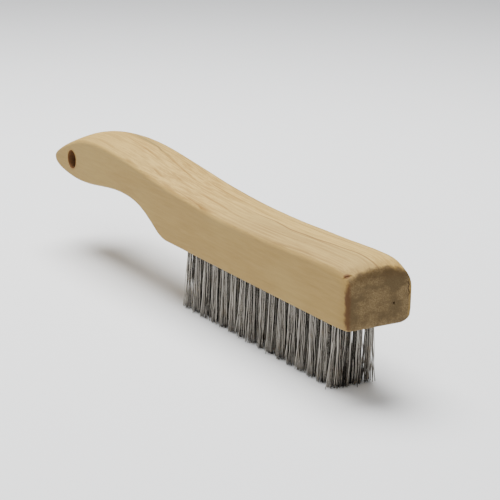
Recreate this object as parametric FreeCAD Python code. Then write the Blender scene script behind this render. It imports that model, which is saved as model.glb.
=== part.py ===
import FreeCAD, Part
import math
import os

# Shoe-handle wire scratch brush: one hardwood block whose head is drilled for
# tufts of steel wire. Each tuft is a bundle folded in half over a U-shaped wire
# staple, and the staple's legs are driven into the wood above the blind hole.
# The frame stands on the wire tips: z = 0 is the plane of the tips, +X points to
# the toe (the blunt head end), -X to the butt of the handle, and y = 0 is the
# middle of the block's width. All sizes are in millimetres.

# --- overall sizes ---
overall_length = 260.0
block_width = 30.0
trim_length = 28.7          # free wire between the head's underside and the tips
head_height = 22.6          # underside to the top's side edge, near the toe

# --- tuft field ---
tuft_columns = 16           # along the head
tuft_rows = 4               # across the head
column_pitch = 7.63
row_pitch = 5.1
toe_margin = 17.5           # toe end to the first column's axis
heel_margin = 12.0          # last column's axis to the start of the heel's curve
hole_diameter = 4.0
hole_depth = 11.0
tip_diameter = 4.8          # a tuft opens a little towards its tips
tip_lean = 1.2              # and its tips are combed this far towards the butt
straight_root = 5.0         # free wire that still runs straight out of the hole

# --- staple that anchors one tuft ---
staple_wire = 1.2
staple_leg = 5.5            # driven into the wood above the hole
staple_inset = 0.3          # from the leg's outer side to the wall of the hole
fold_height = 1.6           # wire that passes over the staple's crown

# --- side outline of the block, heights above the head's underside ---
heel_bend = 9.0             # heel's curve start to the middle of its slope
heel_bend_rise = 3.0
heel_run = 40.0             # heel's curve start to the highest point of the arch
arch_rise = 12.4            # underside of the grip at the arch
arch_fullness = 0.9         # the slope's outline stands this far above its chord
swell_rise = 8.7            # underside of the grip at the palm swell
swell_from_butt = 27.0
tail_rise = 9.9             # underside where it turns up to the butt
tail_from_butt = 12.0
crest_rise = 30.2           # top of the hump over the palm swell
crest_from_butt = 49.0
shoulder_rise = 27.6        # top edge where it turns down to the butt
shoulder_from_butt = 24.5
waist_rise = 24.6           # top edge above the heel
saddle_rise = 21.3          # lowest point of the top, over the head
saddle_from_toe = 80.0
butt_rise = 15.6            # tip of the butt's nose
nose_radius = 3.0
nose_slope = 30.0           # degrees, slope of the outline where the nose begins
edge_steps = 2              # flats that round an edge over a quarter turn
crown_steps = 5             # flats from the edge to the middle of the crown
toe_roll = 12.0             # the top rolls over towards the toe along this length
toe_drop_side = 4.4         # and drops this far at its side edge
toe_drop_middle = 2.4       # and this far at its middle
crown_height = 3.0          # the middle of the top stands above its side edges
edge_radius = 1.6           # sanded edges round both sides of the block

# --- hang hole ---
hang_diameter = 9.0
hang_from_butt = 20.6
hang_rise = 17.8            # its axis above the head's underside

# --- places that follow from the sizes ---
toe_x = overall_length / 2
butt_x = -overall_length / 2
half_width = block_width / 2
underside_z = trim_length
hole_end_z = underside_z + hole_depth
first_column_x = toe_x - toe_margin
heel_x = first_column_x - (tuft_columns - 1) * column_pitch - heel_margin


def column_x(column):
    return first_column_x - column * column_pitch


def row_y(row):
    return (row - (tuft_rows - 1) / 2) * row_pitch


# --- handle block ---
def smooth_edge(points, start_tangent, end_tangent):
    curve = Part.BSplineCurve()
    curve.interpolate(Points=points, InitialTangent=start_tangent, FinalTangent=end_tangent)
    return curve.toShape()


def side_profile(y, inset):
    """Closed outline of the block at the station y, drawn in by inset all round."""
    share = y / half_width
    crown = crown_height * (1 - share ** 2)
    toe_drop = toe_drop_middle + (toe_drop_side - toe_drop_middle) * share ** 2
    slope = math.radians(nose_slope)
    nose = nose_radius - inset

    def low(x, rise):
        return FreeCAD.Vector(x, y, underside_z + rise + inset)

    def high(x, rise):
        return FreeCAD.Vector(x, y, underside_z + rise + crown - inset)

    def on_nose(turn):
        centre = FreeCAD.Vector(butt_x + nose_radius, y, underside_z + butt_rise)
        return centre + FreeCAD.Vector(-nose * math.cos(turn), 0, nose * math.sin(turn))

    nose_turn = math.radians(90) - slope
    roll_radius = (toe_roll ** 2 + toe_drop ** 2) / (2 * toe_drop)
    roll_turn = math.asin(toe_roll / roll_radius) / 2
    roll_start = high(toe_x - inset - toe_roll, head_height)
    roll_middle = roll_start + FreeCAD.Vector(
        roll_radius * math.sin(roll_turn), 0, -roll_radius * (1 - math.cos(roll_turn))
    )
    roll_end = roll_start + FreeCAD.Vector(toe_roll, 0, -toe_drop)
    toe_underside = low(toe_x - inset, 0)
    heel_start = low(heel_x, 0)
    under_grip = smooth_edge(
        [
            heel_start,
            low(heel_x - heel_bend, heel_bend_rise),
            low(heel_x - heel_run / 2, (heel_bend_rise + arch_rise) / 2 + arch_fullness),
            low(heel_x - heel_run, arch_rise),
            low(butt_x + swell_from_butt, swell_rise),
            low(butt_x + tail_from_butt, tail_rise),
            on_nose(-nose_turn),
        ],
        FreeCAD.Vector(-1, 0, 0),
        FreeCAD.Vector(-math.cos(slope), 0, math.sin(slope)),
    )
    over_top = smooth_edge(
        [
            on_nose(nose_turn),
            high(butt_x + shoulder_from_butt, shoulder_rise),
            high(butt_x + crest_from_butt, crest_rise),
            high(heel_x, waist_rise),
            high(toe_x - saddle_from_toe, saddle_rise),
            roll_start,
        ],
        FreeCAD.Vector(math.cos(slope), 0, math.sin(slope)),
        FreeCAD.Vector(1, 0, 0),
    )
    return Part.Wire(
        [
            Part.makeLine(toe_underside, heel_start),
            under_grip,
            Part.Arc(on_nose(-nose_turn), on_nose(0), on_nose(nose_turn)).toShape(),
            over_top,
            Part.Arc(roll_start, roll_middle, roll_end).toShape(),
            Part.makeLine(roll_end, toe_underside),
        ]
    )


def solid_block():
    """Crowned block, lofted across its width, with both side edges sanded round."""
    stations = []
    for step in range(edge_steps):
        turn = math.radians(90 * step / edge_steps)
        inset = edge_radius * (1 - math.sin(turn))
        stations.append((half_width - edge_radius * (1 - math.cos(turn)), inset))
    crowned_width = half_width - edge_radius
    for step in range(crown_steps + 1):
        stations.append((crowned_width * (1 - step / crown_steps), 0))
    mirrored = [(-y, inset) for y, inset in stations[:-1]]
    profiles = [side_profile(y, inset) for y, inset in stations + mirrored[::-1]]
    return Part.makeLoft(profiles, True, True).removeSplitter()


def hang_hole():
    start = FreeCAD.Vector(butt_x + hang_from_butt, -block_width, underside_z + hang_rise)
    return Part.makeCylinder(hang_diameter / 2, 2 * block_width, start, FreeCAD.Vector(0, 1, 0))


# --- one tuft and its staple, made at the origin of the tuft field ---
def tuft_hole():
    bottom = FreeCAD.Vector(0, 0, underside_z)
    return Part.makeCylinder(hole_diameter / 2, hole_depth, bottom)


def staple():
    """U of round wire: the crown lies inside the tuft's fold, both legs point up."""
    reach = hole_diameter / 2 - staple_inset - staple_wire / 2
    bend = 0.6 * staple_wire
    crown_z = hole_end_z - fold_height - staple_wire / 2
    leg_end_z = hole_end_z + staple_leg
    corner = bend * (1 - math.sqrt(0.5))

    def at(y, z):
        return FreeCAD.Vector(0, y, z)

    path = Part.Wire(
        [
            Part.makeLine(at(-reach, leg_end_z), at(-reach, crown_z + bend)),
            Part.Arc(
                at(-reach, crown_z + bend),
                at(-reach + corner, crown_z + corner),
                at(-reach + bend, crown_z),
            ).toShape(),
            Part.makeLine(at(-reach + bend, crown_z), at(reach - bend, crown_z)),
            Part.Arc(
                at(reach - bend, crown_z),
                at(reach - corner, crown_z + corner),
                at(reach, crown_z + bend),
            ).toShape(),
            Part.makeLine(at(reach, crown_z + bend), at(reach, leg_end_z)),
        ]
    )
    section = Part.Wire(Part.makeCircle(staple_wire / 2, at(-reach, leg_end_z)))
    return path.makePipeShell([section], True, False)


def tuft():
    """Outer shape of one doubled bundle, from the hole's end down to the tips."""
    root_z = underside_z - straight_root
    straight = Part.makeCylinder(
        hole_diameter / 2, hole_end_z - root_z, FreeCAD.Vector(0, 0, root_z)
    )
    root_ring = Part.Wire(Part.makeCircle(hole_diameter / 2, FreeCAD.Vector(0, 0, root_z)))
    tip_ring = Part.Wire(Part.makeCircle(tip_diameter / 2, FreeCAD.Vector(-tip_lean, 0, 0)))
    spread = Part.makeLoft([tip_ring, root_ring], True, True)
    return straight.fuse(spread).cut(staple())


def placed(shape, column, row):
    copy = shape.copy()
    copy.translate(FreeCAD.Vector(column_x(column), row_y(row), 0))
    return copy


def across_head(shape, column):
    """The copies of one shape in one column of the tuft field."""
    return Part.makeCompound([placed(shape, column, row) for row in range(tuft_rows)])


def handle_block(hole, anchor):
    """The block with its blind tuft holes, the staples' leg holes and the hang hole."""
    spots = [(column, row) for column in range(tuft_columns) for row in range(tuft_rows)]
    block = solid_block().cut(hang_hole())
    block = block.cut([placed(hole, column, row) for column, row in spots])
    return block.cut([placed(anchor, column, row) for column, row in spots])


# --- parts ---
os.makedirs("parts", exist_ok=True)
one_hole = tuft_hole()
one_staple = staple()
one_tuft = tuft()
handle_block(one_hole, one_staple).exportStep("parts/handle_block.step")
for column in range(tuft_columns):
    number = f"{column + 1:02d}"
    across_head(one_tuft, column).exportStep(f"parts/tuft_row_{number}.step")
    across_head(one_staple, column).exportStep(f"parts/staple_row_{number}.step")
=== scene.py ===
import math
import random

import bmesh
import bpy
import numpy as np
from mathutils import Matrix, Vector, noise


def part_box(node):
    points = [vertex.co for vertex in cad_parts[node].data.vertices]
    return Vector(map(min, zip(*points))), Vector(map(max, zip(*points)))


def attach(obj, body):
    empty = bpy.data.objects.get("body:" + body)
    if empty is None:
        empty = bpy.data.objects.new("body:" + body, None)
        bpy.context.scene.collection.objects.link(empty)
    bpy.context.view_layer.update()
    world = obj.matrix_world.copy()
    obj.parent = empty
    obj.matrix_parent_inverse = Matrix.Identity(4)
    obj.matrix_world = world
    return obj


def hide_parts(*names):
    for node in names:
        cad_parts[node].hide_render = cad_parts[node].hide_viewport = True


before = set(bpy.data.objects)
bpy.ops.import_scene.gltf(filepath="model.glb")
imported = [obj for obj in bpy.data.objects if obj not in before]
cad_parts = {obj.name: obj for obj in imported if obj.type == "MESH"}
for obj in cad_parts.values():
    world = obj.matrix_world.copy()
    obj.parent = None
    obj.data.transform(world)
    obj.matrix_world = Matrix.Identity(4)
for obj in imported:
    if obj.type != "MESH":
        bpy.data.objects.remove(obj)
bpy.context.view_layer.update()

# --- Handle block ---
# One piece of bare hardwood, sawn to the curved shoe-handle outline, moulded to a
# crowned top and sanded by hand, with a hole bored through the butt to hang it by.
MM = 0.001
block_low, block_high = (Vector(corner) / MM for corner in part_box("handle_block"))
toe_x, butt_x, head_z = block_high.x, block_low.x, block_low.z
half_width = (block_high.y - block_low.y) / 2
head_length = 143.95            # the flat underside, from toe to heel
heel_x = toe_x - head_length
head_height = 22.6              # underside to the top's side edge
crown_height = 3.0
nose_radius, nose_rise, nose_slope = 3.0, 15.6, math.radians(30)
toe_roll, roll_drop_middle, roll_drop_side = 12.0, 2.4, 4.4
edge_radius = 1.6
near_over, far_over = 2.4, 4.5  # how round each edge of the toe is sanded
near_under, far_under = 2.6, 5.0
near_upright, far_upright = 1.4, 1.0
grip_under = [(-9, 3.0), (-20, 8.6), (-40, 12.4)]              # from the heel, rise
butt_under = [(27, 8.7), (12, 9.9)]                            # from the butt, rise
butt_over = [(24.5, 27.6), (49, 30.2)]                         # from the butt, rise
heel_over, saddle_from_toe, saddle_rise = 24.6, 80.0, 21.3
outline_count = 560
hang_radius, hang_x, hang_z = 4.5, butt_x + 20.6, head_z + 17.8


def smooth_line(points, start, end, per_span=24):
    """Points along the even curve that runs through the given ones, from one heading to another."""
    stops = np.array(points, float)
    gaps = np.linalg.norm(np.diff(stops, axis=0), axis=1)
    count = len(stops)
    grid, pull = np.eye(count), np.zeros((count, 2))
    pull[0], pull[-1] = start, end
    for i in range(1, count - 1):
        before, after = gaps[i - 1], gaps[i]
        grid[i, i - 1 : i + 2] = after, 2 * (before + after), before
        arriving, leaving = (stops[i] - stops[i - 1]) / before, (stops[i + 1] - stops[i]) / after
        pull[i] = 3 * (after * arriving + before * leaving)
    heading = np.linalg.solve(grid, pull)
    t = np.linspace(0, 1, per_span, endpoint=False)[:, None]
    spans = []
    for i in range(count - 1):
        ends = (2 * t**3 - 3 * t**2 + 1) * stops[i] + (3 * t**2 - 2 * t**3) * stops[i + 1]
        turns = (t**3 - 2 * t**2 + t) * heading[i] + (t**3 - t**2) * heading[i + 1]
        spans.append(ends + gaps[i] * turns)
    return np.vstack(spans)


def round_line(centre, radius, start, end, count=16):
    """Points along an arc, without its last one."""
    turn = np.linspace(start, end, count, endpoint=False)
    return np.stack([centre[0] + radius * np.cos(turn), centre[1] + radius * np.sin(turn)], 1)


def straight_line(start, end, count):
    return np.linspace(start, end, count, endpoint=False)


def evenly_spaced(loop):
    """The closed loop again, in even steps and a little softened at its corners."""
    closed = np.vstack([loop, loop[:1]])
    along = np.concatenate([[0], np.cumsum(np.linalg.norm(np.diff(closed, axis=0), axis=1))])
    even = np.linspace(0, along[-1], outline_count, endpoint=False)
    ring = np.stack([np.interp(even, along, closed[:, k]) for k in (0, 1)], 1)
    for _ in range(5):
        ring = (np.roll(ring, 1, 0) + 2 * ring + np.roll(ring, -1, 0)) / 4
    return ring


def block_outline(y, inset):
    """The block's side outline at the station y, drawn in by inset all round."""
    share = y / half_width
    crown = crown_height * (1 - share**2) - inset
    drop = roll_drop_middle + (roll_drop_side - roll_drop_middle) * share**2
    end_x = toe_x - inset
    dive = (math.cos(nose_slope), math.sin(nose_slope))

    under = [(heel_x, inset)]
    under += [(heel_x + dx, rise + inset) for dx, rise in grip_under]
    under += [(butt_x + dx, rise + inset) for dx, rise in butt_under]
    nose = (butt_x + nose_radius, nose_rise)
    nose_turn = math.pi / 2 - nose_slope
    reach = nose_radius - inset
    nose_low = (nose[0] - reach * math.cos(nose_turn), nose[1] - reach * math.sin(nose_turn))
    nose_high = (nose_low[0], 2 * nose[1] - nose_low[1])

    roll_start = (end_x - toe_roll, head_height + crown)
    roll_radius = (toe_roll**2 + drop**2) / (2 * drop)
    roll_turn = math.asin(toe_roll / roll_radius)
    roll_centre = (roll_start[0], roll_start[1] - roll_radius)
    over = [nose_high] + [(butt_x + dx, rise + crown) for dx, rise in butt_over]
    over += [(heel_x, heel_over + crown), (toe_x - saddle_from_toe, saddle_rise + crown)]

    loop = np.vstack(
        [
            straight_line((end_x, inset), (heel_x, inset), 90),
            smooth_line(under + [nose_low], (-1, 0), (-dive[0], dive[1])),
            round_line(nose, reach, math.pi + nose_turn, math.pi - nose_turn),
            smooth_line(over + [roll_start], dive, (1, 0)),
            round_line(roll_centre, roll_radius, math.pi / 2, math.pi / 2 - roll_turn),
            straight_line((end_x, roll_start[1] - drop), (end_x, inset), 20),
        ]
    )
    return evenly_spaced(loop)


def block_stations():
    """Pairs of y and inset across the block, close together round its side edges."""
    side = []
    for turn in np.linspace(0, math.pi / 2, 6)[:-1]:
        side.append((half_width - edge_radius * (1 - math.cos(turn)), edge_radius * (1 - math.sin(turn))))
    side += [(y, 0.0) for y in np.linspace(half_width - edge_radius, 0, 11)]
    return side + [(-y, inset) for y, inset in side[-2::-1]]


def within(share):
    return min(1.0, max(0.0, share))


def toe_rounding(x, y, rise):
    """How far the hand sander has taken a point down (or up) near the toe's end face."""
    over = (far_over if y > 0 else near_over) * within((x - toe_x + 34) / 30) ** 1.5
    under = (far_under if y > 0 else near_under) * within((x - toe_x + 14) / 12)
    share = within(rise / (head_height - 2))

    def drop(radius):
        past = abs(y) - (half_width - radius)
        return radius - math.sqrt(max(0.0, radius**2 - past**2)) if past > 0 and radius > 0 else 0.0

    return drop(under) * (1 - share) - drop(over) * share


def round_upright_edge(place):
    """Rolls the two upright edges of the toe's end face."""
    radius = far_upright if place.y > 0 else near_upright
    reach, side = place.x - (toe_x - radius), abs(place.y) - (half_width - radius)
    length = math.hypot(reach, side)
    if reach > 0 and side > 0 and length > radius:
        place.x -= reach * (1 - radius / length)
        place.y -= math.copysign(side * (1 - radius / length), place.y)


def sander_waviness(place, inset):
    """The slight unevenness that the hand sander leaves, kept off the flat sides."""
    wander = noise.noise_vector(place * 0.045) * 0.22 + noise.noise_vector(place * 0.2) * 0.05
    return Vector((wander.x * 0.3, 0 if inset > 1 else wander.y, wander.z))


def to_metres(bm, name):
    mesh = bpy.data.meshes.new(name)
    bm.to_mesh(mesh)
    bm.free()
    mesh.transform(Matrix.Scale(MM, 4))
    return mesh


def block_skin():
    """The block before it is drilled, as one closed mesh."""
    noise.seed_set(5)
    bm = bmesh.new()
    rows = []
    for y, inset in block_stations():
        row = []
        for x, rise in block_outline(y, inset):
            place = Vector((x, y, head_z + rise))
            if x > toe_x - 36:
                place.z += toe_rounding(x, y, rise)
            if rise > 1.5:                      # the flat underside isn't sanded
                place += sander_waviness(place, inset)
            row.append(bm.verts.new(place))
        rows.append(row)
    for a, b in zip(rows, rows[1:]):
        for i in range(outline_count):
            j = (i + 1) % outline_count
            bm.faces.new((a[i], a[j], b[j], b[i]))
    sides_flat = [bm.faces.new(rows[0][::-1]), bm.faces.new(rows[-1])]
    bmesh.ops.inset_individual(bm, faces=sides_flat, thickness=1.2, use_even_offset=True)
    for vert in bm.verts:
        round_upright_edge(vert.co)
    bmesh.ops.recalc_face_normals(bm, faces=bm.faces)
    return to_metres(bm, "wood_block")


hole_radius, hole_depth, tip_radius, rows_across = 2.0, 11.0, 2.4, 4


def tuft_rows():
    """Names of the CAD nodes that hold the tufts, one for each column of the head."""
    return sorted(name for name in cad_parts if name.startswith("tuft_row"))


def tuft_spots(node):
    """The axes of the four holes that a column of tufts is set in, in millimetres."""
    low, high = (Vector(corner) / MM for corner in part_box(node))
    ys = np.linspace(low.y + tip_radius, high.y - tip_radius, rows_across)
    return [(high.x - hole_radius, float(y)) for y in ys]


knot_place = (toe_x - 3.5, -13.2, head_z + 21.2)
knot_run = (2.3, 3.7, 1.6)      # the split knot runs over the near top corner
crack_place = (toe_x, half_width - 1.9, head_z + 13.4)
# each split in the wood, as radii, middle and the way it runs
splits = [
    ((2.2, 0.24, 1.3), crack_place, (0, -0.12, 1)),
    ((1.1, 0.2, 1.0), (toe_x, half_width - 2.9, head_z + 17.4), (0, -0.5, 1)),
    ((0.9, 0.5, 0.6), (toe_x, 6.2, head_z + 9.0), (1, 0, 0)),
    ((2.8, 0.19, 0.9), knot_place, knot_run),
    ((0.9, 0.16, 0.5), (toe_x - 5.6, -11.6, head_z + 22.2), knot_run),
]


def add_drill(bm, radius, length, segments, matrix):
    bmesh.ops.create_cone(
        bm, cap_ends=True, segments=segments, radius1=radius, radius2=radius, depth=length, matrix=matrix
    )


def block_cutter():
    """Everything that is drilled or split out of the block, as one mesh whose parts don't touch."""
    bm = bmesh.new()
    for node in tuft_rows():
        for x, y in tuft_spots(node):
            middle = Matrix.Translation((x, y, head_z + (hole_depth - 1) / 2))
            add_drill(bm, hole_radius, hole_depth + 1, 28, middle)
    across = Matrix.Translation((hang_x, 0, hang_z)) @ Matrix.Rotation(math.pi / 2, 4, "X")
    add_drill(bm, hang_radius, 3 * half_width, 72, across)
    for radii, place, run in splits:
        matrix = Matrix.Translation(place) @ Vector(run).to_track_quat("X", "Z").to_matrix().to_4x4()
        bmesh.ops.create_icosphere(bm, subdivisions=2, radius=1, matrix=matrix @ Matrix.Diagonal((*radii, 1)))
    return to_metres(bm, "block_cutter")


def make_block():
    block = bpy.data.objects.new("wood_block", block_skin())
    cutter = bpy.data.objects.new("cutter", block_cutter())
    bpy.context.collection.objects.link(block)
    bpy.context.collection.objects.link(cutter)
    cut = block.modifiers.new("cut", "BOOLEAN")
    cut.operation, cut.solver, cut.object = "DIFFERENCE", "EXACT", cutter
    evaluated = block.evaluated_get(bpy.context.evaluated_depsgraph_get())
    block.data = bpy.data.meshes.new_from_object(evaluated)
    block.modifiers.clear()
    bpy.data.objects.remove(cutter)
    block.data.shade_smooth()
    block.data.set_sharp_from_angle(angle=math.radians(38))
    even = block.modifiers.new("even shading", "WEIGHTED_NORMAL")
    even.keep_sharp = True
    return block


def new_material(name):
    material = bpy.data.materials.new(name)
    material.use_nodes = True
    tree = material.node_tree
    return material, tree, tree.nodes["Principled BSDF"]


def feed(tree, socket, value):
    """Links another node's output to the socket, or sets the value there."""
    if isinstance(value, bpy.types.NodeSocket):
        tree.links.new(value, socket)
    else:
        socket.default_value = value


def place_node(tree, kind, settings=None, **inputs):
    """Adds a node; its inputs go by name, or by number as i0, i1 and so on."""
    made = tree.nodes.new(kind)
    for key, value in (settings or {}).items():
        setattr(made, key, value)
    for key, value in inputs.items():
        numbered = key[0] == "i" and key[1:].isdigit()
        feed(tree, made.inputs[int(key[1:])] if numbered else made.inputs[key], value)
    return made


def calc(tree, operation, a, b=0.0):
    return place_node(tree, "ShaderNodeMath", {"operation": operation}, i0=a, i1=b).outputs[0]


def times(tree, *factors):
    product = factors[0]
    for factor in factors[1:]:
        product = calc(tree, "MULTIPLY", product, factor)
    return product


def stretched(tree, coords, rates):
    return place_node(tree, "ShaderNodeVectorMath", {"operation": "MULTIPLY"}, i0=coords, i1=rates).outputs[0]


def cloud(tree, coords, rates, detail=3.0, rough=0.5):
    """Soft lumps from 0 to 1; rates say how many there are to a unit, along x, y and z."""
    made = place_node(
        tree, "ShaderNodeTexNoise", None,
        Vector=stretched(tree, coords, rates), Scale=1.0, Detail=detail, Roughness=rough,
    )
    return made.outputs["Fac"]


def swing(tree, value, size):
    """The 0 to 1 value made to swing about zero, size from end to end."""
    return times(tree, calc(tree, "SUBTRACT", value, 0.5), size)


def fade(tree, value, start, end):
    """0 at start, 1 at end, smooth between."""
    made = place_node(tree, "ShaderNodeMapRange", {"interpolation_type": "SMOOTHSTEP"}, Value=value)
    made.inputs["From Min"].default_value = start
    made.inputs["From Max"].default_value = end
    return made.outputs["Result"]


def between(tree, share, low, high):
    """Low where share is 0, high where it is 1."""
    made = place_node(tree, "ShaderNodeMapRange", None, Value=share)
    made.inputs["To Min"].default_value = low
    made.inputs["To Max"].default_value = high
    return made.outputs["Result"]


def blend_colour(tree, share, first, second):
    made = place_node(tree, "ShaderNodeMix", {"data_type": "RGBA"}, i0=share)
    for socket, colour in ((made.inputs[6], first), (made.inputs[7], second)):
        feed(tree, socket, (*colour, 1) if isinstance(colour, tuple) else colour)
    return made.outputs[2]


def stained(tree, colour, stain, where, strength=1.0):
    """The colour with a stain over it, at the given strength where `where` is 1."""
    return blend_colour(tree, times(tree, where, strength), colour, stain)


def in_millimetres(tree):
    """The place on the object, in millimetres."""
    place = place_node(tree, "ShaderNodeTexCoord").outputs["Object"]
    return place_node(tree, "ShaderNodeVectorMath", {"operation": "SCALE"}, i0=place, Scale=1 / MM).outputs[0]


def distance_to(tree, coords, point, rates=(1, 1, 1)):
    offset = place_node(tree, "ShaderNodeVectorMath", {"operation": "SUBTRACT"}, i0=coords, i1=point)
    scaled = stretched(tree, offset.outputs[0], rates)
    return place_node(tree, "ShaderNodeVectorMath", {"operation": "LENGTH"}, i0=scaled).outputs["Value"]


def finish_surface(tree, shader, colour, roughness, relief, strength, depth):
    """Gives the shader its colour, roughness and a fine relief, depth in metres."""
    bump = place_node(tree, "ShaderNodeBump", None, Height=relief, Strength=strength, Distance=depth)
    feed(tree, shader.inputs["Base Color"], colour)
    feed(tree, shader.inputs["Roughness"], roughness)
    feed(tree, shader.inputs["Normal"], bump.outputs["Normal"])


def growth_rings(tree, coords):
    """1 on the dark late wood of each yearly ring, which wanders and breaks up along the board."""
    pith, ring_width = (0.0, 44.0, head_z - 14.0), 3.6
    slow = stretched(tree, coords, (0.012, 0.05, 0.05))
    wander = place_node(tree, "ShaderNodeTexNoise", None, Vector=slow, Scale=1.0, Detail=2.0).outputs["Color"]
    push = place_node(
        tree, "ShaderNodeVectorMath", {"operation": "MULTIPLY_ADD"}, i0=wander, i1=(0, 3.0, 3.0), i2=coords
    )
    across = distance_to(tree, push.outputs[0], pith, (0.022, 1, 1))
    ring = calc(tree, "FRACT", calc(tree, "DIVIDE", across, ring_width))
    broken = fade(tree, cloud(tree, coords, (0.03, 0.25, 0.25), 2.0), 0.38, 0.58)
    return times(tree, fade(tree, ring, 0.7, 0.96), fade(tree, ring, 1.0, 0.97), broken)


def long_grain_and_side_shade(tree, coords, on_top, streak, fibre, pore):
    """Streaked on top, a finer mottle on the sides, which are darkened and greyed with painted shade."""
    mottle = cloud(tree, coords, (0.07, 0.8, 0.8), 4.0, 0.6)
    side_figure, top_figure = fade(tree, mottle, 0.15, 1.1), fade(tree, streak, 0.36, 0.64)
    figure = place_node(tree, "ShaderNodeMix", None, i0=on_top, i2=side_figure, i3=top_figure)
    colour = blend_colour(tree, figure.outputs[0], (0.345, 0.215, 0.06), (0.53, 0.355, 0.11))
    ring_strength = calc(tree, "ADD", times(tree, on_top, 0.6), 0.12)
    colour = stained(tree, colour, (0.20, 0.105, 0.025), growth_rings(tree, coords), ring_strength)
    colour = stained(tree, colour, (0.29, 0.17, 0.045), fade(tree, fibre, 0.5, 0.75), 0.42)
    patch = cloud(tree, coords, (0.02, 0.05, 0.05), 2.0)
    colour = stained(tree, colour, (0.52, 0.37, 0.12), fade(tree, patch, 0.42, 0.66), 0.3)
    colour = stained(tree, colour, (0.17, 0.095, 0.04), pore, 0.35)
    # painted shade: the sides and underside darker and greyer than the lit top
    return stained(tree, colour, (0.285, 0.205, 0.095), calc(tree, "SUBTRACT", 1.0, on_top), 0.4)


def growth_line_and_slope_shade(tree, coords, x, y, on_top, colour):
    """One darker line that runs along the crown out to the toe, with painted shade on the crown's near slope
    beside it.
    """
    line_y = calc(tree, "ADD", y, swing(tree, cloud(tree, coords, (0.02, 0, 0), 2.0), 9.0))
    near_toe = fade(tree, x, toe_x - 110, toe_x - 70)
    # painted shade: the near slope of the crown is darker near the toe
    near_slope_shade = times(tree, fade(tree, line_y, 0.5, -3.0), on_top, near_toe)
    colour = stained(tree, colour, (0.28, 0.195, 0.075), near_slope_shade, 0.4)
    off_line = calc(tree, "ABSOLUTE", calc(tree, "ADD", line_y, 1.5))
    line = times(tree, fade(tree, off_line, 0.62, 0.12), on_top, near_toe)
    return stained(tree, colour, (0.16, 0.085, 0.03), line, 0.72)


def grip_marks_and_shade(tree, coords, x, y, on_top, fibre, colour):
    """The grip's top is darkened with painted shade, and has a dull line and a smudge where the board met a
    knot.
    """
    # painted shade: the top of the grip darker towards the butt
    grip_shade = times(tree, fade(tree, x, butt_x + 120, butt_x + 40), on_top)
    colour = stained(tree, colour, (0.30, 0.185, 0.05), grip_shade, 0.3)
    slope, line_x, line_y = 0.11, butt_x + 44, 8.5
    slant = calc(tree, "ADD", y, times(tree, x, slope))
    slant = calc(tree, "ADD", slant, swing(tree, cloud(tree, coords, (0.09, 0, 0), 2.0), 3.0))
    off_line = calc(tree, "ABSOLUTE", calc(tree, "SUBTRACT", slant, line_y + slope * line_x))
    start, stop = fade(tree, x, butt_x + 32, butt_x + 44), fade(tree, x, butt_x + 98, butt_x + 72)
    dull_line = times(tree, fade(tree, off_line, 0.8, 0.2), on_top, start, stop)
    colour = stained(tree, colour, (0.15, 0.105, 0.04), dull_line, 0.75)
    smudge = distance_to(tree, coords, (butt_x + 56, 7.2, head_z + 32.2), (0.06, 0.4, 0.1))
    smudge = calc(tree, "ADD", smudge, swing(tree, fibre, 1.6))
    return stained(tree, colour, (0.24, 0.18, 0.07), fade(tree, smudge, 1.35, 0.3), 0.5)


def end_grain(tree, coords, y, z, ragged, speck):
    """The toe's cut end, which drinks in dirt: speckled and blotched, darker at the near and top rims."""
    colour = blend_colour(tree, fade(tree, speck, 0.34, 0.66), (0.13, 0.086, 0.038), (0.24, 0.168, 0.083))
    blotch = fade(tree, cloud(tree, coords, (0.1, 0.1, 0.16), 5.0, 0.62), 0.42, 0.6)
    colour = stained(tree, colour, (0.085, 0.057, 0.027), blotch, 0.8)
    far_edge = calc(tree, "ADD", y, times(tree, ragged, 0.4))
    honey = fade(tree, far_edge, half_width - 2.6, half_width - 1.2)
    colour = stained(tree, colour, (0.37, 0.24, 0.075), honey, 0.7)
    near_edge = calc(tree, "ADD", y, times(tree, ragged, 0.3))
    rim = fade(tree, near_edge, 2.4 - half_width, 0.7 - half_width)
    colour = stained(tree, colour, (0.10, 0.046, 0.02), rim, 0.9)
    top_rim = fade(tree, calc(tree, "ADD", z, ragged), head_z + 17.5, head_z + 20.5)
    colour = stained(tree, colour, (0.085, 0.05, 0.021), top_rim, 0.5)
    pits = fade(tree, cloud(tree, coords, (2.6, 2.6, 2.6), 2.0), 0.66, 0.74)
    return stained(tree, colour, (0.055, 0.033, 0.017), pits, 0.6)


def toe_marks(tree, coords, x, y, z, colour):
    """Dirt along the crack in the toe's far edge, and the dark knot at its near corner."""
    _, crack_y, crack_z = crack_place
    wavy = calc(tree, "ADD", y, swing(tree, cloud(tree, coords, (0, 0, 0.35), 2.0), 4.0))
    off_crack = calc(tree, "ABSOLUTE", calc(tree, "SUBTRACT", wavy, crack_y - 0.3))
    up_crack = calc(tree, "ABSOLUTE", calc(tree, "SUBTRACT", z, crack_z + 0.2))
    on_face = fade(tree, x, toe_x - 2.2, toe_x - 1.2)
    dirt = times(tree, fade(tree, off_crack, 0.5, 0.15), fade(tree, up_crack, 3.4, 2.4), on_face)
    colour = stained(tree, colour, (0.07, 0.04, 0.018), dirt, 0.85)
    knot = distance_to(tree, coords, knot_place, (0.75, 0.5, 1.1))
    return stained(tree, colour, (0.10, 0.035, 0.018), fade(tree, knot, 1.25, 0.5), 0.8)


def scorched_hole(tree, coords, colour):
    """The drill has scorched the hang hole, and the wood round it a little."""
    off_axis = distance_to(tree, coords, (hang_x, 0, hang_z), (1, 0, 1))
    halo = fade(tree, off_axis, hang_radius + 1.7, hang_radius + 0.1)
    colour = stained(tree, colour, (0.27, 0.13, 0.045), halo, 0.35)
    inside = fade(tree, off_axis, hang_radius + 0.12, hang_radius)
    return stained(tree, colour, (0.17, 0.08, 0.032), inside)


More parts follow.
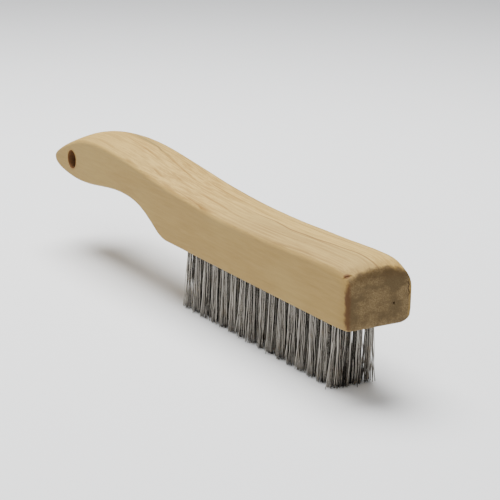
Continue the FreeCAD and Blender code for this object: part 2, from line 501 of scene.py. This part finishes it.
def bare_wood():
    """Unvarnished pale hardwood: rings seen as long lines on top, dark speckled end grain."""
    material, tree, shader = new_material("bare_wood")
    coords = in_millimetres(tree)
    x, y, z = place_node(tree, "ShaderNodeSeparateXYZ", None, i0=coords).outputs
    facing = place_node(tree, "ShaderNodeTexCoord").outputs["Normal"]
    upward = place_node(tree, "ShaderNodeSeparateXYZ", None, i0=facing).outputs[2]
    on_top = fade(tree, upward, 0.3, 0.8)
    streak = cloud(tree, coords, (0.018, 0.9, 0.9), 5.0, 0.62)
    fibre = cloud(tree, coords, (0.06, 3.4, 3.4), 3.0, 0.6)
    pore = fade(tree, cloud(tree, coords, (0.16, 4.2, 4.2), 1.0), 0.66, 0.76)

    colour = long_grain_and_side_shade(tree, coords, on_top, streak, fibre, pore)
    colour = growth_line_and_slope_shade(tree, coords, x, y, on_top, colour)
    colour = grip_marks_and_shade(tree, coords, x, y, on_top, fibre, colour)

    ragged = swing(tree, cloud(tree, coords, (0.32, 0.32, 0.32), 5.0, 0.65), 4.4)
    speck = cloud(tree, coords, (1.9, 1.9, 1.9), 3.0, 0.6)
    border = calc(tree, "ADD", x, ragged)
    # painted shade over the toe's rounded roll, just behind the end grain
    colour = stained(tree, colour, (0.26, 0.155, 0.045), fade(tree, border, toe_x - 7.5, toe_x - 1.5), 0.3)
    end = fade(tree, border, toe_x - 2.6, toe_x - 0.7)
    colour = stained(tree, colour, end_grain(tree, coords, y, z, ragged, speck), end, 0.94)
    colour = toe_marks(tree, coords, x, y, z, colour)
    colour = scorched_hole(tree, coords, colour)

    relief = calc(tree, "ADD", times(tree, streak, 0.5), times(tree, fibre, 0.5))
    relief = calc(tree, "SUBTRACT", relief, times(tree, pore, 0.6))
    relief = calc(tree, "ADD", relief, times(tree, speck, end, 0.9))
    finish_surface(tree, shader, colour, between(tree, streak, 0.56, 0.78), relief, 0.55, 0.00022)
    shader.inputs["Specular IOR Level"].default_value = 0.12
    return material


block = make_block()
block.data.materials.clear()
block.data.materials.append(bare_wood())
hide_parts("handle_block")
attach(block, "root")

# --- Tufts of wire ---
# Each hole takes a bundle of straight steel wires, folded in half over its staple
# and driven in fold first, so both ends of every wire stand out and get trimmed.
wire_radius = 0.165
wire_sides = 6
staple_crown_z = head_z + hole_depth - 2.2
tip_lean = -1.2                                 # the tips lean towards the heel
tip_scatter_x, tip_scatter_y, trim_scatter = 0.46, 0.48, 0.62
stray_share, stray_factor = 0.1, 2.6
long_share, long_extra = 0.07, 1.3
wave_height, wave_count, bow_scatter = (0.04, 0.18), (1.4, 3.0), 0.22
# where one half of the bundle leaves the hole, as x: all its y, from the hole's axis
mouth_rows = {
    0.10: (1.72, -1.72),
    0.34: (1.28, 0.64, 0.0, -0.64, -1.28),
    0.82: (1.5, 0.9, 0.3, -0.3, -0.9, -1.5),
    1.28: (0.98, 0.33, -0.33, -0.98),
    1.66: (0.5, -0.5),
}
mouth = [(x, y) for x, ys in mouth_rows.items() for y in ys]
outermost = max(mouth_rows)


def wire_leg(rng, x, y, side):
    """Centre line of one end of a wire, from its tip up to beside the staple."""
    stray = 1.0 if rng.random() > stray_share else stray_factor
    spread = tip_radius / hole_radius
    tip = Vector((
        side * x * spread + tip_lean + rng.gauss(0, tip_scatter_x) * stray,
        y * spread + rng.gauss(0, tip_scatter_y) * stray,
        abs(rng.gauss(0, trim_scatter)) + (long_extra if rng.random() < long_share else 0.0) + 0.02,
    ))
    wave, phase = rng.uniform(*wave_height), rng.uniform(0, 2 * math.pi)
    turns, lie = rng.uniform(*wave_count), rng.uniform(0, 2 * math.pi)
    bow = rng.gauss(0, bow_scatter), rng.gauss(0, bow_scatter)
    line = []
    for share in np.linspace(1, 0, 15):         # 1 at the tip, 0 at the mouth of the hole
        swung = share**1.5
        ripple = wave * math.sin(turns * 2 * math.pi * share + phase) * min(1, 2.5 * share)
        arch = math.sin(math.pi * share)
        line.append((
            side * x * (1 - swung) + tip.x * swung + ripple * math.cos(lie) + bow[0] * arch,
            y * (1 - swung) + tip.y * swung + ripple * math.sin(lie) + bow[1] * arch,
            head_z + (tip.z - head_z) * share,
        ))
    beside_staple = 0.78 + x / outermost
    for share in (0.35, 0.7, 1.0):
        line.append((
            side * (x + (beside_staple - x) * share), y * (1 - 0.45 * share),
            head_z + (staple_crown_z - head_z) * share,
        ))
    return line, beside_staple


def wire_line(rng, x, y):
    """Centre line of a whole wire: up one leg, over the staple and down the other."""
    near, reach = wire_leg(rng, x, y, 1)
    far, _ = wire_leg(rng, x, y + rng.gauss(0, 0.08), -1)
    fold = [
        (reach * math.cos(turn), y * (0.55 - 0.3 * math.sin(turn)), staple_crown_z + reach * math.sin(turn))
        for turn in np.linspace(0, math.pi, 8)[1:-1]
    ]
    return np.array(near + fold + far[::-1])


def add_wire(verts, faces, line, radius):
    """A round wire along a line that never runs sideways."""
    along = np.gradient(line, axis=0)
    along /= np.linalg.norm(along, axis=1)[:, None]
    out = np.cross(along, (0, 1, 0))
    out /= np.linalg.norm(out, axis=1)[:, None]
    over = np.cross(along, out)
    base = len(verts)
    for point, a, b in zip(line, out, over):
        for k in range(wire_sides):
            turn = 2 * math.pi * k / wire_sides
            verts.append(point + radius * (a * math.cos(turn) + b * math.sin(turn)))
    for i in range(len(line) - 1):
        here, there = base + i * wire_sides, base + (i + 1) * wire_sides
        for k in range(wire_sides):
            beyond = (k + 1) % wire_sides
            faces.append((here + k, here + beyond, there + beyond, there + k))
    last = base + (len(line) - 1) * wire_sides
    faces.append(tuple(base + k for k in range(wire_sides))[::-1])
    faces.append(tuple(last + k for k in range(wire_sides)))


def make_tufts(node, number):
    """The four tufts of one column."""
    rng = random.Random(4100 + number)
    verts, faces = [], []
    for x, y in tuft_spots(node):
        turn = rng.uniform(-0.12, 0.12)
        for mouth_x, mouth_y in mouth:
            line = wire_line(rng, mouth_x, mouth_y + turn * mouth_x) + (x, y, 0)
            line[:, 2] = np.maximum(line[:, 2], wire_radius * 0.1)
            add_wire(verts, faces, line, wire_radius * rng.uniform(0.94, 1.06))
    mesh = bpy.data.meshes.new(f"tuft_wires_{number:02d}")
    mesh.from_pydata([tuple(v * MM) for v in verts], [], faces)
    mesh.shade_smooth()
    tufts = bpy.data.objects.new(mesh.name, mesh)
    bpy.context.collection.objects.link(tufts)
    return tufts


def drawn_steel():
    """Springy steel wire, dull and a little tarnished, each wire a different tone."""
    material, tree, shader = new_material("drawn_steel")
    coords = in_millimetres(tree)
    own_tone = place_node(tree, "ShaderNodeNewGeometry").outputs["Random Per Island"]
    tarnish = cloud(tree, coords, (1.2, 1.2, 0.12))
    tone = calc(tree, "ADD", times(tree, own_tone, 0.85), times(tree, tarnish, 0.3))
    colour = blend_colour(tree, fade(tree, tone, 0.15, 1.0), (0.03, 0.026, 0.021), (0.37, 0.345, 0.305))
    rust = fade(tree, cloud(tree, coords, (0.22, 0.22, 0.22)), 0.56, 0.72)
    colour = stained(tree, colour, (0.24, 0.17, 0.1), rust, 0.25)
    draw_lines = cloud(tree, coords, (9, 9, 0.5), 2.0)
    finish_surface(tree, shader, colour, between(tree, tarnish, 0.26, 0.12), draw_lines, 0.3, 0.00003)
    shader.inputs["Metallic"].default_value = 1.0
    return material


tuft_steel = drawn_steel()
for number, node in enumerate(tuft_rows(), 1):
    tufts = make_tufts(node, number)
    tufts.data.materials.append(tuft_steel)
    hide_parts(node)
    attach(tufts, "root")

# --- Staples ---
# A U of round steel wire in every hole: its crown holds the fold of the tuft and
# its two legs are driven into the wood above. They keep their shape from the frame.


def staple_steel():
    """Brighter, smoother wire than the tufts, with faint marks from the driver."""
    material, tree, shader = new_material("staple_steel")
    marks = cloud(tree, in_millimetres(tree), (2.0, 2.0, 0.4))
    colour = blend_colour(tree, fade(tree, marks, 0.35, 0.7), (0.52, 0.51, 0.49), (0.66, 0.65, 0.63))
    finish_surface(tree, shader, colour, 0.12, marks, 0.25, 0.00004)
    shader.inputs["Metallic"].default_value = 1.0
    return material


staple_finish = staple_steel()
for name, node in sorted(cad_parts.items()):
    if name.startswith("staple_row"):
        node.data.materials.clear()
        node.data.materials.append(staple_finish)

# --- Floor, light and camera ---
# A plain pale floor under two large soft lights, one overhead and one high in front.
# The camera looks at the toe end and the near side at a low angle.
floor_half = 6.0
floor_mesh = bpy.data.meshes.new("floor")
corners = [(x * floor_half, y * floor_half, 0) for x, y in ((-1, -1), (1, -1), (1, 1), (-1, 1))]
floor_mesh.from_pydata(corners, [], [(0, 1, 2, 3)])
floor = bpy.data.objects.new("floor", floor_mesh)
bpy.context.collection.objects.link(floor)


def pale_paper():
    """Faintly mottled white, with painted shade that greys it away from the brush."""
    material, tree, shader = new_material("pale_paper")
    place = place_node(tree, "ShaderNodeTexCoord").outputs["Object"]
    colour = blend_colour(tree, cloud(tree, place, (3, 3, 3)), (0.80, 0.808, 0.815), (0.84, 0.846, 0.85))
    away = distance_to(tree, place, (0, 0, 0))
    # painted shade: the floor darkens away from the brush, as light falls off
    colour = stained(tree, colour, (0.54, 0.545, 0.555), fade(tree, away, 0.25, 1.1), 0.75)
    feed(tree, shader.inputs["Base Color"], colour)
    shader.inputs["Roughness"].default_value = 0.7
    shader.inputs["Specular IOR Level"].default_value = 0.2
    return material


floor.data.materials.append(pale_paper())


def add_soft_light(name, place, size, power):
    """A round soft light aimed at the middle of the brush's footprint."""
    light = bpy.data.lights.new(name, "AREA")
    light.shape, light.size, light.energy = "DISK", size, power
    holder = bpy.data.objects.new(name, light)
    holder.location = place
    holder.rotation_euler = (-Vector(place)).to_track_quat("-Z", "Y").to_euler()
    bpy.context.collection.objects.link(holder)


add_soft_light("overhead", (-0.38, 0.03, 1.25), 1.1, 48)
add_soft_light("from_the_front", (0.62, -0.5, 1.25), 1.1, 10)

world = bpy.data.worlds.new("studio")
bpy.context.scene.world = world
world.use_nodes = True
world.node_tree.nodes["Background"].inputs["Color"].default_value = (0.93, 0.965, 1.0, 1)
world.node_tree.nodes["Background"].inputs["Strength"].default_value = 0.12

camera_data = bpy.data.cameras.new("camera")
camera_data.lens, camera_data.sensor_width = 118.9, 36.0
camera = bpy.data.objects.new("camera", camera_data)
azimuth, elevation, roll = math.radians(59.0), math.radians(16.05), math.radians(0.73)
aim, camera_distance = Vector((0.0350, 0, 0.0351)), 0.6951
outward = Vector((math.sin(azimuth), -math.cos(azimuth), 0))
back = outward * math.cos(elevation) + Vector((0, 0, math.sin(elevation)))
level = Vector((math.cos(azimuth), math.sin(azimuth), 0))
right = math.cos(roll) * level + math.sin(roll) * back.cross(level)
turned = Matrix((right, back.cross(right), back)).transposed().to_4x4()
camera.matrix_world = Matrix.Translation(aim + camera_distance * back) @ turned
bpy.context.collection.objects.link(camera)
bpy.context.scene.camera = camera
